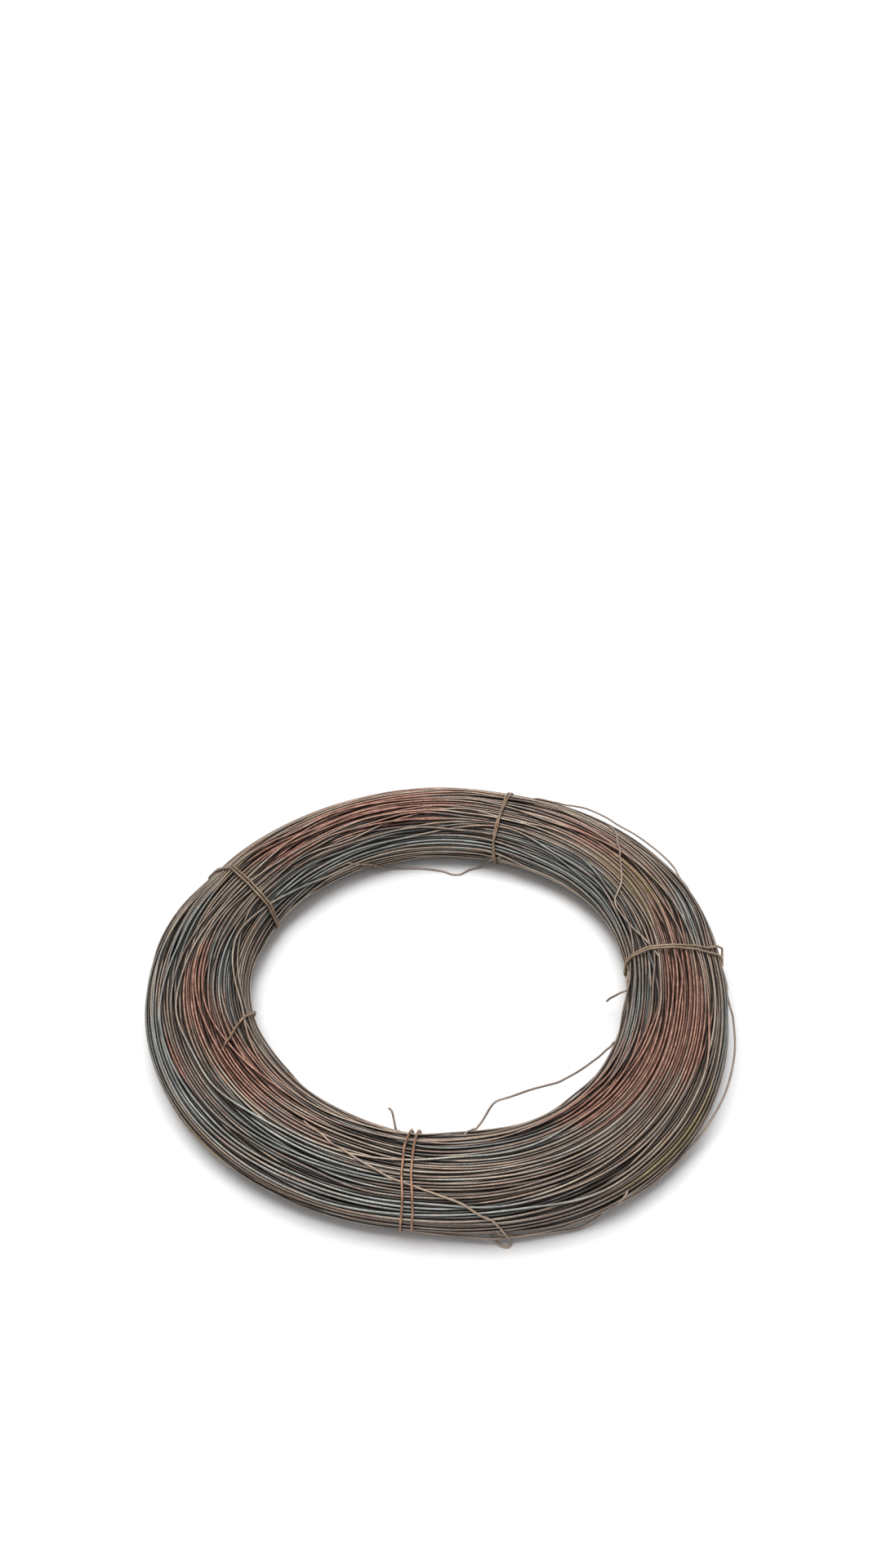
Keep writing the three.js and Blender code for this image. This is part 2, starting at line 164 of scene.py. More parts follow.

# Wire that has come away from the bundle. Each length starts and ends where it goes in among the
# turns, or at its cut end. A place is (bearing, around, off in millimetres).
# The lengths' tones are partly their own colour and partly painted shade: they are set darker for the
# shade on the thin wires' undersides.
LOOSE_LENGTHS = {
    # The outer turn that has sprung away between the right tie and the front one.
    "sprung_turn_front": {"tone": 0.4, "places": [
        (3, 15, -1), (358.5, 11, -0.3), (354.7, 7.7, 0.4), (348.6, 5.3, 2.4), (342.1, 2.5, 5),
        (337.6, 0, 5.4), (334.9, -1.7, 5.4), (332.1, -3.2, 5.2), (329.2, -4.8, 4.4), (326.2, -6.5, 3.5),
        (323, -8.2, 2.6), (319.9, -9.9, 1.9), (316.5, -11.6, 1.2), (310, -14.5, 0.3),
        (304.8, -16.9, 0.5), (299.7, -18.8, 1), (294.7, -20.3, 1.5), (288.1, -21.9, 2.2),
        (283.4, -22.7, 2.3), (278.8, -23.3, 2.2), (272.7, -23.8, 0.8), (267.5, -24, 0.2),
        (262, -25, -0.4), (258, -26, -1),
    ]},
    # The turn that has sprung up behind the bundle's shoulder, between the back tie and the right one.
    "sprung_turn_back": {"tone": 0.35, "places": [
        (71, 44, -1), (67.3, 38, 0), (62.7, 35, 0), (58.4, 33.4, 2.5), (56.1, 33, 4), (53.1, 32.3, 4.3),
        (50.3, 31.6, 4), (47.4, 30.8, 2.8), (43.2, 29.5, 3.4), (39.3, 28.2, 3.3), (32.5, 25.6, 3),
        (27, 22, 0.5), (22, 16, -1),
    ]},
    # The turn that crosses the bundle from its outer shoulder to its bore shoulder.
    "crossing_turn": {"tone": 0.6, "places": [
        (50, 40, -1), (47.5, 47.3, 0), (45.2, 58.5, 0), (41.5, 79.4, 0), (36.8, 96, 0), (32.4, 111, 0),
        (30.3, 120, 0), (28.6, 132, 0), (27.6, 139, 0), (25.8, 145, 0), (23.2, 146.2, 0),
        (15.2, 140, -0.3), (7.1, 124, -0.5), (1.7, 113, -1),
    ]},
    # The coil's outer end: it leaves the front tie, runs down the bundle's side and hooks back.
    "free_end_front": {"tone": 0.7, "places": [
        (238, 98, -1), (243.8, 92, -0.4), (252, 80, 0), (260.6, 66, -0.3), (265.1, 60, -0.3),
        (269.9, 49.6, 0), (273.5, 41, 0), (276.6, 25.4, 0), (278.8, 16, 0.2), (280.1, -1.8, 0.4),
        (281.1, -18, 2), (281.7, -26, 4.8), (281.9, -30, 7.6), (281.5, -29, 9.2), (280.9, -28.5, 9.6),
        (279.9, -31, 8), (279.1, -34.5, 4.3), (278.3, -38.5, 1.1),
    ]},
    # The slack turn along the bundle's front foot.
    "slack_turn_front": {"tone": 0.5, "places": [
        (279.3, -14, -1), (280.5, -23, 0.5), (282.3, -25, 1.8), (286.1, -27, 3.1), (289.8, -28, 4.7),
        (293, -28, 6.6), (294.4, -27, 6.5), (296.8, -24, 4.2), (298.6, -20, 1.4), (299.5, -15, 0.2),
        (301, -4, -0.4), (303, 4, -1),
    ]},
    # A length that has slumped into the bore at the front.
    "stray_length_in_bore": {"tone": 0.3, "places": [
        (275, 143, -1), (276.6, 149, -0.4), (278, 153.8, 0.3), (280.6, 154, 7), (283.6, 152, 17.4),
        (285.5, 151.5, 21), (288.3, 152, 21.6), (295.2, 154.5, 21.5), (300.4, 157, 19.2),
        (306.2, 160, 15.1), (309, 161.5, 13.9), (312.6, 163.5, 12), (318.5, 166.5, 8.7),
        (321, 167.8, 7.2), (324.8, 170, 4.5), (330.8, 172.5, 0.8), (335, 178, -1),
    ]},
    # The slack turn that droops to the floor inside the bore at the back.
    "slack_turn_back": {"tone": 0.35, "places": [
        (122, 168, -1), (117, 180, -0.2), (113.2, 192, 0.3), (107, 212, 5), (101.7, 214, 10.5),
        (97, 213.6, 13.6), (91, 210, 16), (88.6, 209, 18), (86.4, 207.5, 20.6), (83.3, 208, 20),
        (80.2, 213, 13.4), (76.5, 211, 4.6), (74.6, 200, 0.4), (73, 190, -0.4), (70, 178, -1),
    ]},
    # A cut end that stands off the bore side at the right.
    "cut_end_right": {"tone": 0.3, "places": [
        (1, 160, -1), (358, 170, -0.2), (354.7, 174.2, 0.2), (353.5, 178.5, 5.6), (350.6, 177, 12),
        (348.6, 176, 14.6),
    ]},
    # A cut end that stands up in the bore beside the front tie.
    "cut_end_front": {"tone": 0.3, "places": [
        (260, 172, -1), (258.8, 160, -0.2), (258.1, 154, 0.4), (257, 155, 7.2), (256.4, 154.6, 11),
        (255.8, 154.5, 13), (255.1, 154.7, 13.5),
    ]},
}

# The ties' courses: (around, bearing, off in millimetres), with around counting on into the second lap
# of those that go round twice.
TIES = {
    "tie_front": {"tone": 0.45, "rust": 0.65, "course": [
        (-27, 262.8, 0), (17, 263, 0), (40, 263.1, 0), (54, 262.9, 0.7), (62, 262.7, 1.2),
        (72, 262.3, 0.6), (87, 262.1, 0), (104, 261.8, 0.3), (120, 262.4, 0.6), (140, 262.4, 1.4),
        (153, 262.3, 2), (164, 262.4, 1.4), (180, 262.5, 0.4), (222, 262.7, 0), (318, 264.6, 0),
        (371, 264.9, 0), (389, 265, 0), (408, 264.8, 0.3), (418, 264.6, 1), (427, 264.4, 1.1),
        (436, 264.1, 0.4), (446, 264, 0), (455, 263.9, 0.2), (472, 263.9, 0.3), (488, 264.2, 0.6),
        (502, 264.4, 1.6), (513, 264.5, 2.4), (524, 264.5, 1.6), (540, 264.5, 0.4), (600, 264.2, 0),
    ]},
    "tie_right": {"tone": 0.7, "rust": 0.05, "course": [
        (-40, 5.6, 0), (12, 4.8, 0), (38, 3.7, 0), (60, 3.1, 0), (78, 3.1, 0), (97, 3.4, 0),
        (123, 4.3, 0), (158, 4.4, 0), (184, 4.5, 0), (222, 4.5, 0), (318, 4.4, 0), (362, 4.0, 0.4),
        (370, 4.2, 1.6), (374, 5.4, 3), (380, 6.6, 2.6), (386, 6.7, 1.4), (400, 5.6, 0.4),
        (414, 4.6, 0.2), (438, 4, 0), (456, 4.2, 0), (476, 4.8, 0.6), (488, 5, 1), (500, 5, 0.4),
        (518, 5.1, 0), (545, 5.2, 0), (600, 5, 0),
    ]},
    "tie_back": {"tone": 0.5, "rust": 0.25, "course": [
        (-36, 73.3, 0), (20, 73.4, 0), (51, 73.5, 0), (81, 73.2, 0), (96, 73.5, 0), (114, 73.8, 0),
        (136, 73.6, 0), (158, 73, 0), (181, 72.3, 0), (222, 72.4, 0), (318, 73.8, 0), (380, 74, 0),
        (411, 74.1, 0), (441, 73.8, 0.2), (456, 73.5, 1.2), (474, 73.2, 0.8), (496, 73.2, 0.2),
        (518, 73.5, 0), (541, 72.9, 0), (600, 72.8, 0),
    ]},
    "tie_back_left": {"tone": 0.4, "rust": 0.1, "course": [
        (-36, 151, 0), (10, 150, 0), (27, 149.3, 0), (42, 148.9, 0), (68, 148.9, 0), (87, 149.6, 0),
        (109, 152, 0), (136, 153.6, 0), (157, 154.4, 0), (190, 154, 0), (222, 153.2, 0), (318, 151, 0),
        (375, 150.8, 0), (388, 150, 0.6), (402, 149.5, 0), (428, 149.5, 0), (447, 150.6, 0),
        (469, 153.1, 0), (496, 154.7, 0), (517, 155.4, 0), (550, 154.8, 0), (600, 153.6, 0),
    ]},
}

# The short tie that goes in among the turns at both ends, with places as the loose lengths have them.
INNER_TIE = {"tone": 0.6, "rust": 0.35, "places": [
    (209.2, 96, -1), (208.4, 104, 0), (206.6, 112, 0), (204.2, 121, 0), (201.4, 134, 0),
    (198.2, 152, 0.2), (195.4, 168, 1), (194, 176, 1.6), (193.6, 186, 0.4), (193.4, 200, -0.3),
    (193.4, 212, -1),
]}

# ---------------------------------------- the camera and the light

PHOTO_SIZE = (1080, 1920)
CAMERA_ELEVATION = 39.4
CAMERA_DISTANCE = 1.298
FOCAL_PIXELS = 1786.0
RING_CENTRE_PIXEL = (540.6, 1221.1)
SENSOR = 36.0

FLOOR_SIZE = 16.0
FLOOR_GREY = (0.8, 0.8, 0.8, 1)
WHITE = (1, 1, 1, 1)
SKY_LEVEL = 0.5
SUN_LEVEL = 2.2
SUN_WIDTH = 45.0
SUN_FROM = (-0.12, 0.1, 1.0)


def short_way(place, other, whole=360):
    """How far a place is from another one, the short way round."""
    return (place - other + whole / 2) % whole - whole / 2


def lobed(mean, lobes, bearing):
    """A size that swells in lobes round the ring."""
    swells = (height * np.cos(count * (bearing - math.radians(at))) for count, height, at in lobes)
    return mean + sum(swells)


def pinch(bearing):
    """How far the nearest tie draws the bundle in."""
    total = np.zeros_like(bearing)
    for tie in TIE_BEARINGS:
        off = short_way(np.degrees(bearing), tie)
        total += PINCH_DEPTH * np.exp(-(off / PINCH_REACH) ** 2)
    return total


def signed_power(value, power):
    return np.sign(value) * np.abs(value) ** power


class Section:
    """The bundle's outline, inset by a depth, at each of some bearings (radians)."""

    def __init__(self, bearings, inset):
        self.bearings = np.asarray(bearings, float)
        self.radius = lobed(MEAN_RADIUS, RING_LOBES, self.bearings)
        inset = (inset + pinch(self.bearings))[:, None]
        self.half_width = lobed(HALF_WIDTH, WIDTH_LOBES, self.bearings)[:, None] - inset
        self.half_height = (COIL_HEIGHT + BASE_SAG) / 2 - inset
        self.middle = (COIL_HEIGHT - BASE_SAG) / 2
        self.angle = np.linspace(-math.pi / 2, 1.5 * math.pi, OUTLINE_POINTS + 1)
        self.across = self.half_width * signed_power(np.cos(self.angle), 2 / SQUARENESS)
        oval = self.middle + self.half_height * signed_power(np.sin(self.angle), 2 / SQUARENESS)
        self.level = np.maximum(oval, inset)
        steps = np.hypot(np.diff(self.across, axis=1), np.diff(self.level, axis=1))
        start = np.zeros((len(self.bearings), 1))
        self.along = np.concatenate([start, np.cumsum(steps, axis=1)], axis=1)
        self.length = self.along[:, -1]

    def share(self, around):
        """The share of the outline's length at an around (degrees), one for each bearing."""
        angle = (np.radians(around) + math.pi / 2) % (2 * math.pi) - math.pi / 2
        return np.array([np.interp(a, self.angle, s) for a, s in zip(angle, self.along)]) / self.length

    def around(self, share):
        """The around (degrees) at a share, one for each bearing."""
        place = share % 1.0 * self.length
        return np.degrees(np.array([np.interp(p, s, self.angle) for p, s in zip(place, self.along)]))

    def around_at(self, across, level):
        """The around (degrees) of points in the section, one for each bearing."""
        up = (level - self.middle) / self.half_height[:, 0]
        out = across / self.half_width[:, 0]
        power = SQUARENESS / 2
        return np.degrees(np.arctan2(signed_power(up, power), signed_power(out, power)))

    def facing(self, around):
        """Which way the outline faces at an around (degrees), in radians from straight out."""
        power = 2 - 2 / SQUARENESS
        across = signed_power(np.cos(np.radians(around)), power) / self.half_width[:, 0]
        up = signed_power(np.sin(np.radians(around)), power) / self.half_height[:, 0]
        return np.arctan2(up, across)

    def at(self, share):
        """Across, level and the outward normal at a share, one for each bearing."""
        points = []
        for shift in (0.0, -NORMAL_REACH, NORMAL_REACH):
            place = (share + shift) % 1.0 * self.length
            across = [np.interp(p, a, x) for p, a, x in zip(place, self.along, self.across)]
            level = [np.interp(p, a, z) for p, a, z in zip(place, self.along, self.level)]
            points.append((np.array(across), np.array(level)))
        (x, z), (x0, z0), (x1, z1) = points
        normal = np.stack([z1 - z0, x0 - x1])
        normal /= np.linalg.norm(normal, axis=0)
        return x, z, normal

    def lifted(self, share, height, lowest):
        """Across, level and the outward normal of a point at a height over the outline. lowest is the
        least level that it may have."""
        x, z, normal = self.at(share)
        return x + normal[0] * height, np.maximum(z + normal[1] * height, lowest), normal

    def in_ring(self, across, level):
        """Places in the ring, one for each bearing."""
        spot = self.radius + across
        x = RING_CENTRE.x + spot * np.cos(self.bearings)
        y = RING_CENTRE.y + spot * np.sin(self.bearings)
        return np.stack([x, y, level], axis=-1)

    def turned(self, normal):
        """Directions in the ring of normals in the section, one for each bearing."""
        x = normal[0] * np.cos(self.bearings)
        y = normal[0] * np.sin(self.bearings)
        return np.stack([x, y, normal[1]], axis=-1)


# ---------------------------------------- laying the turns

rng = np.random.default_rng(SEED)
LAP = np.arange(BEARINGS) * 2 * math.pi / BEARINGS  # the bearing of each sample
bed = Section(LAP, BED_DEPTH)


def waves(amplitude, last):
    """A smooth closed course of random waves, with up to last periods in the lap."""
    total = np.zeros(BEARINGS)
    for count in range(1, last + 1):
        phase = rng.uniform(0, 2 * math.pi)
        total += rng.normal() * amplitude / count * np.cos(count * LAP + phase)
    return total


def wander(freedom):
    """How a turn strays sideways between the ties, which hold it."""
    total = waves(SWAY * freedom, SWAY_WAVES)
    for index, tie in enumerate(TIE_BEARINGS):
        span = (TIE_BEARINGS[(index + 1) % len(TIE_BEARINGS)] - tie) % 360
        share = np.clip((np.degrees(LAP) - tie) % 360 / span, 0, 1)
        sideways = rng.normal() * np.sin(math.pi * share) ** 2
        sideways += rng.normal() * np.sin(2 * math.pi * share) * np.sin(math.pi * share)
        total += freedom * SPAN_WANDER[index] * sideways
    return total


def common_drift(share):
    """What neighbouring turns do alike."""
    drift = np.zeros(BEARINGS)
    for count, size, phase, rounds in COMMON_DRIFT:
        drift += size * np.sin(count * LAP + rounds * 2 * math.pi * share + phase)
    return drift * MM


def resting_height(shares, length, laid, heights, diameter=WIRE_D):
    """How high a wire's middle line lies at each bearing, on the turns laid already."""
    if not len(laid):
        return np.zeros(len(shares))
    reach = (WIRE_D + diameter) / 2
    apart = short_way(laid, shares, 1) * length
    lift = np.sqrt(np.maximum(reach ** 2 - apart ** 2, 0))
    return np.where(np.abs(apart) < reach, heights + lift, 0.0).max(axis=0)


def stiff(course, most=STIFF_WAVES):
    """A closed course with at most so many bends in its lap."""
    spectrum = np.fft.rfft(course)
    spectrum *= np.exp(-(np.arange(len(spectrum)) / most) ** STIFF_EDGE)
    return np.fft.irfft(spectrum, BEARINGS)


def settled(shares, laid, heights, slides):
    """The course of a turn after it has slid into the grooves beneath it."""
    wanted = shares.copy()
    for _ in range(slides):
        ahead = resting_height(shares + SLOPE_PROBE / bed.length, bed.length, laid, heights)
        behind = resting_height(shares - SLOPE_PROBE / bed.length, bed.length, laid, heights)
        slope = np.clip((ahead - behind) / (2 * SLOPE_PROBE), -STEEPEST, STEEPEST)
        shares = shares - stiff(slope * SLIDE_STEP) / bed.length + STEADINESS * (wanted - shares)
    return shares


def bridged(height, reach, mode):
    """A smooth course over the humps of a height, no lower than it. mode is numpy's way to pad it."""
    window = 2 * reach + 1
    padded = np.pad(height, 2 * reach, mode=mode)
    raised = np.array([padded[i:i + window].max() for i in range(len(padded) - window + 1)])
    weights = np.hanning(window + 2)[1:-1]
    return np.convolve(raised, weights / weights.sum(), mode="valid")


def parted(course):
    """A course pushed away from the partings."""
    push = np.zeros(BEARINGS)
    for bearing, around, reach, width in PARTINGS:
        parting = bed.share(np.full(BEARINGS, float(around)))
        aside = short_way(course, parting, 1) * bed.length
        along = short_way(np.degrees(LAP), bearing)
        near = np.exp(-(aside / PARTING_FADE) ** 2 - (along / reach) ** 2)
        push += width * np.tanh(aside / PARTING_EDGE) * near
    return course + push / bed.length


def lowest_way(levels, start):
    """The lowest way round the lap, as the row of levels that it keeps to at each bearing. It starts at
    the sample start, in the row that is lowest near there."""
    near = (start + np.arange(-START_REACH, START_REACH + 1)) % BEARINGS
    first = levels[:, near].mean(axis=1).argmin()
    cost = np.full(len(levels), math.inf)
    cost[first] = 0
    steps = []
    for bearing in (start + np.arange(BEARINGS)) % BEARINGS:
        ways = np.stack([cost, np.roll(cost, 1) + SIDESTEP_COST, np.roll(cost, -1) + SIDESTEP_COST])
        steps.append(ways.argmin(axis=0))
        cost = ways.min(axis=0) + levels[:, bearing]
    way = np.empty(BEARINGS, int)
    here = first
    for index in reversed(range(BEARINGS)):
        way[(start + index) % BEARINGS] = here
        here = (here - (0, 1, -1)[steps[index][here]]) % len(levels)
    return way


class Pile:
    """The turns laid so far, with their shares and heights: (turns, BEARINGS). levels says how high
    another turn would lie in each of the places that it could take."""

    def __init__(self):
        self.shares = np.zeros((0, BEARINGS))
        self.heights = np.zeros((0, BEARINGS))
        places = np.arange(0, 1, PLACES_APART / bed.length.mean())
        self.places = np.array([share + common_drift(share) / bed.length for share in places])
        self.levels = np.zeros(self.places.shape)

    def lay(self, course):
        """Lays a turn with these shares on the others."""
        rest = resting_height(course, bed.length, self.shares, self.heights)
        height = bridged(rest, STIFF_REACH, "wrap")
        self.shares = np.vstack([self.shares, course])
        self.heights = np.vstack([self.heights, height])
        for place, level in zip(self.places, self.levels):
            np.maximum(level, resting_height(place, bed.length, course[None], height[None]), out=level)

    def low_course(self, start, kept=0.0):
        """A course that goes round where the pile is lowest. kept is added to the levels, to keep it
        out of some places."""
        way = lowest_way(self.levels + kept, start)
        return np.unwrap(self.places[way, np.arange(BEARINGS)], period=1.0)

    def lay_first(self, turn):
        """Lays one of the first turns in its own place."""
        share = turn / FIRST_TURNS
        self.lay(parted(share + (common_drift(share) + wander(FIRST_FREEDOM)) / bed.length))

    def lay_later(self):
        """Lays a turn where the pile is lowest."""
        course = stiff(self.low_course(rng.integers(BEARINGS))) + wander(LATER_FREEDOM) / bed.length
        self.lay(settled(course, self.shares, self.heights, LATER_SLIDES))

    def lay_crossing(self, route):
        """Lays a turn through the (bearing, around) places of a route."""
        bearings, arounds = np.array(route, float).T
        shares = bed.share(np.interp(np.degrees(LAP), bearings, arounds, period=360))
        aside = np.abs(short_way(self.places, shares, 1)) * bed.length
        on_route = (bearings[0] - np.degrees(LAP)) % 360 <= (bearings[0] - bearings[-1]) % 360
        start = round(bearings[0] / 360 * BEARINGS) % BEARINGS
        self.lay(stiff(self.low_course(start, ROUTE_COST * aside * on_route), CROSSING_WAVES))


pile = Pile()
for turn in rng.permutation(FIRST_TURNS):
    pile.lay_first(turn)
for _ in range(LATER_TURNS):
    pile.lay_later()
for route in CROSSING_TURNS:
    pile.lay_crossing(route)
turn_shares, turn_heights = pile.shares, pile.heights


def turns_at(bearings):
    """The shares and heights of all the turns at some bearings (radians)."""
    place = bearings / (2 * math.pi) * BEARINGS % BEARINGS
    before = place.astype(int) % BEARINGS
    after = (before + 1) % BEARINGS
    part = place - np.floor(place)
    tables = (turn_shares, turn_heights)
    return (table[:, before] * (1 - part) + table[:, after] * part for table in tables)


def lowest_turn(bearings):
    """The least level of a turn's middle line: on the floor, or on a tie that passes beneath."""
    return WIRE_D / 2 + TIE_D * np.minimum(pinch(bearings) / PINCH_DEPTH, 1)


# ---------------------------------------- the loose lengths' and ties' courses


def smooth_course(places, spacing):
    """A rounded course through places (rows of numbers), in steps of about spacing of the first two."""
    points = np.array(places, float)
    before = np.vstack([2 * points[0] - points[1], points[:-1]])
    after = np.vstack([points[1:], 2 * points[-1] - points[-2]])
    slopes = (after - before) / 2
    rows = []
    for start, end, leave, arrive in zip(points[:-1], points[1:], slopes[:-1], slopes[1:]):
        count = max(int(np.hypot(*(end - start)[:2]) / spacing), 2)
        for t in np.arange(count) / count:
            rows.append((2 * t ** 3 - 3 * t ** 2 + 1) * start + (t ** 3 - 2 * t ** 2 + t) * leave
                        + (3 * t ** 2 - 2 * t ** 3) * end + (t ** 3 - t ** 2) * arrive)
    rows.append(points[-1])
    return np.array(rows).T


def evenly(points, normals, step):
    """A line and its normals at even steps along it."""
    lengths = np.concatenate([[0], np.cumsum(np.linalg.norm(np.diff(points, axis=0), axis=1))])
    places = np.linspace(0, lengths[-1], max(int(lengths[-1] / step), 2))
    line = np.stack([np.interp(places, lengths, column) for column in points.T], axis=1)
    facing = np.stack([np.interp(places, lengths, column) for column in normals.T], axis=1)
    return line, facing / np.linalg.norm(facing, axis=1, keepdims=True)


def unwrapped(places):
    """The same places, with bearings that count on past 0 or 360."""
    table = np.array(places, float)
    table[:, 0] = np.degrees(np.unwrap(np.radians(table[:, 0])))
    return table


def loose_line(places, diameter=WIRE_D):
    """The middle line of a loose length and its normals. It rests on the turns wherever it would go
    into them."""
    bearing, around, off = smooth_course(unwrapped(places), LOOSE_COURSE_STEP)
    section = Section(np.radians(bearing), BED_DEPTH)
    share = section.share(around)
    laid, heights = turns_at(section.bearings)
    rest = resting_height(share, section.length, laid, heights, diameter)
    rest = bridged(rest, STIFF_REACH, "edge")
    sunk = np.clip(-off, 0, 1) * SINK
    wanted = BED_DEPTH + np.maximum(off, 0) * MM + diameter / 2
    free = np.clip(off / FREE_OFF, 0, 1)
    height = np.maximum(rest, wanted * free + rest * (1 - free)) - sunk
    across, level, normal = section.lifted(share, height, diameter / 2)
    return evenly(section.in_ring(across, level), section.turned(normal), LOOSE_STEP)


def passed_turns(around, bearing, lap):
    """Where each turn goes through one lap of a slanting tie: its bearing there, around, across and
    level."""
    spot = np.full(len(turn_shares), bearing.mean())
    for _ in range(SLANT_PASSES):
        section = Section(np.radians(spot), BED_DEPTH)
        shares, heights = (np.diagonal(table) for table in turns_at(section.bearings))
        across, level, _ = section.lifted(shares, heights, lowest_turn(section.bearings))
        reached = section.around_at(across, level) + 360 * lap
        spot = np.interp(reached, around, bearing)
    return spot, reached, across, level


def tie_line(course):
    """The middle line of a tie and its normals. At each place the tie is drawn taut over the turn that
    reaches furthest the way the outline faces there."""
    around, bearing, off = smooth_course(course, TIE_COURSE_STEP)
    facing = Section(np.radians(bearing), BED_DEPTH).facing(around)
    laps = np.array([passed_turns(around, bearing, lap) for lap in range(TIE_LAPS)])
    # For each sample of the tie, the pass of each turn that is nearest to it: (samples, turns, 4).
    nearest = np.rint((around[:, None] - laps[0, 1]) / 360).astype(int)
    turns = laps[np.clip(nearest, 0, TIE_LAPS - 1), :, np.arange(len(turn_shares))]
    reach = turns[..., 2] * np.cos(facing)[:, None] + turns[..., 3] * np.sin(facing)[:, None]
    spot, reached, across, level = turns[np.arange(len(around)), reach.argmax(axis=1)].T
    section = Section(np.radians(spot), BED_DEPTH)
    clear = (WIRE_D + TIE_D) / 2 + np.interp(reached, around, off) * MM
    across += np.cos(facing) * clear
    level = np.maximum(level + np.sin(facing) * clear, TIE_D / 2)
    normals = section.turned(np.stack([np.cos(facing), np.sin(facing)]))
    return evenly(section.in_ring(across, level), normals, TIE_STEP)


# ---------------------------------------- meshes of wires

STRIP_MARGIN = 0.08  # of each wire's strip in the texture map, left empty on each side


def tube_rings(lines, normals, diameter, sides, closed):
    """The corners round each sample of some wires: (wires, samples, sides, 3)."""
    tangent = np.roll(lines, -1, axis=1) - np.roll(lines, 1, axis=1)
    if not closed:
        tangent[:, 0] = lines[:, 1] - lines[:, 0]
        tangent[:, -1] = lines[:, -1] - lines[:, -2]
    tangent /= np.linalg.norm(tangent, axis=-1, keepdims=True)
    side = np.cross(tangent, normals)
    side /= np.linalg.norm(side, axis=-1, keepdims=True)
    up = np.cross(side, tangent)
    turn = np.arange(sides)[None, None, :, None] * 2 * math.pi / sides
    outward = up[:, :, None, :] * np.cos(turn) + side[:, :, None, :] * np.sin(turn)
    return lines[:, :, None, :] + diameter / 2 * outward


def add_piece(name, corners, faces):
    """An object with a mesh of its own."""
    mesh = bpy.data.meshes.new(name)
    mesh.from_pydata(corners.reshape(-1, 3).tolist(), [], faces)
    piece = bpy.data.objects.new(name, mesh)
    bpy.context.scene.collection.objects.link(piece)
    return piece


def sweep(name, lines, normals, diameter, sides, closed):
    """One mesh of round wires. lines and normals are (wires, samples, 3). Only a single wire may be
    left open: it gets caps."""
    wires, samples = lines.shape[:2]
    spans = samples if closed else samples - 1
    counts = (np.arange(count) for count in (wires, spans, sides))
    wire, span, corner = np.meshgrid(*counts, indexing="ij")
    quads = np.empty(wire.shape + (4,), int)
    strip = np.empty(wire.shape + (4, 2))
    for index, (ahead, across) in enumerate([(0, 0), (0, 1), (1, 1), (1, 0)]):
        row = wire * samples + (span + ahead) % samples
        quads[..., index] = row * sides + (corner + across) % sides
        part = STRIP_MARGIN + (1 - 2 * STRIP_MARGIN) * (corner + across) / sides
        strip[..., index, 0] = (span + ahead) / spans
        strip[..., index, 1] = (wire + part) / wires
    faces = quads.reshape(-1, 4).tolist()
    uvs = [strip.reshape(-1, 2)]
    if not closed:
        first = np.arange(sides)
        faces += [first[::-1].tolist(), (first + (samples - 1) * sides).tolist()]
        uvs += [np.tile(strip[0, 0, 0, 0], (sides, 1)), np.tile(strip[0, -1, 0, 3], (sides, 1))]
    piece = add_piece(name, tube_rings(lines, normals, diameter, sides, closed), faces)
    piece.data.polygons.foreach_set("use_smooth", np.array([len(face) == 4 for face in faces]))
    layer = piece.data.uv_layers.new(name="OFBake")
    layer.data.foreach_set("uv", np.concatenate(uvs).astype(np.float32).ravel())
    return piece


def paint(piece, sides, lay, **fields):
    """Gives a piece the fields of its material. lay is its place in the pattern: (wires, samples, 3).
    Each other field is one number, or (wires, samples), or (wires, samples, sides) where it changes
    round the wire."""
    attribute = piece.data.attributes.new("lay", "FLOAT_VECTOR", "POINT")
    vectors = np.repeat(lay.reshape(-1, 3), sides, axis=0)
    attribute.data.foreach_set("vector", vectors.astype(np.float32).ravel())
    for name, values in fields.items():
        if np.ndim(values) < 3:
            values = np.repeat(np.broadcast_to(values, lay.shape[:2])[..., None], sides, axis=2)
        attribute = piece.data.attributes.new(name, "FLOAT", "POINT")
        attribute.data.foreach_set("value", values.astype(np.float32).ravel())


def stand_in(piece, node, material):
    """Puts a piece in a CAD node's place."""
    piece.data.materials.append(material)
    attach(piece, "root")
    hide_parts(node)


# ---------------------------------------- materials


def add_node(tree, kind, inputs=None, **settings):
    """A node with its settings, and with its inputs linked or given a value."""
    node = tree.nodes.new(kind)
    for name, value in settings.items():
        setattr(node, name, value)
    for name, value in (inputs or {}).items():
        if isinstance(value, bpy.types.NodeSocket):
            tree.links.new(value, node.inputs[name])
        else:
            node.inputs[name].default_value = value
    return node


def colour(code):
    """The linear colour of an sRGB hex code."""
    values = [int(code[start:start + 2], 16) / 255 for start in (0, 2, 4)]
    linear = [v / 12.92 if v <= 0.04045 else ((v + 0.055) / 1.055) ** 2.4 for v in values]
    return (*linear, 1.0)


def ramp(tree, factor, stops):
    """Colours by a factor. stops are (place, hex code)."""
    node = add_node(tree, "ShaderNodeValToRGB", {"Fac": factor})
    elements = node.color_ramp.elements
    while len(elements) < len(stops):
        elements.new(0.5)
    for element, (place, code) in zip(elements, stops):
        element.position = place
        element.color = colour(code)
    return node.outputs["Color"]


def field(tree, name, output="Fac"):
    """A field that paint() gave the piece."""
    return add_node(tree, "ShaderNodeAttribute", attribute_name=name).outputs[output]


def noise(tree, scale, detail=3.0, roughness=0.55):
    """Streaks along a wire, of about 1 / scale metres."""
    lay = field(tree, "lay", "Vector")
    inputs = {"Vector": lay, "Scale": scale, "Detail": detail, "Roughness": roughness}
    return add_node(tree, "ShaderNodeTexNoise", inputs).outputs["Fac"]


def math_node(tree, operation, *values):
    return add_node(tree, "ShaderNodeMath", dict(enumerate(values)), operation=operation).outputs[0]


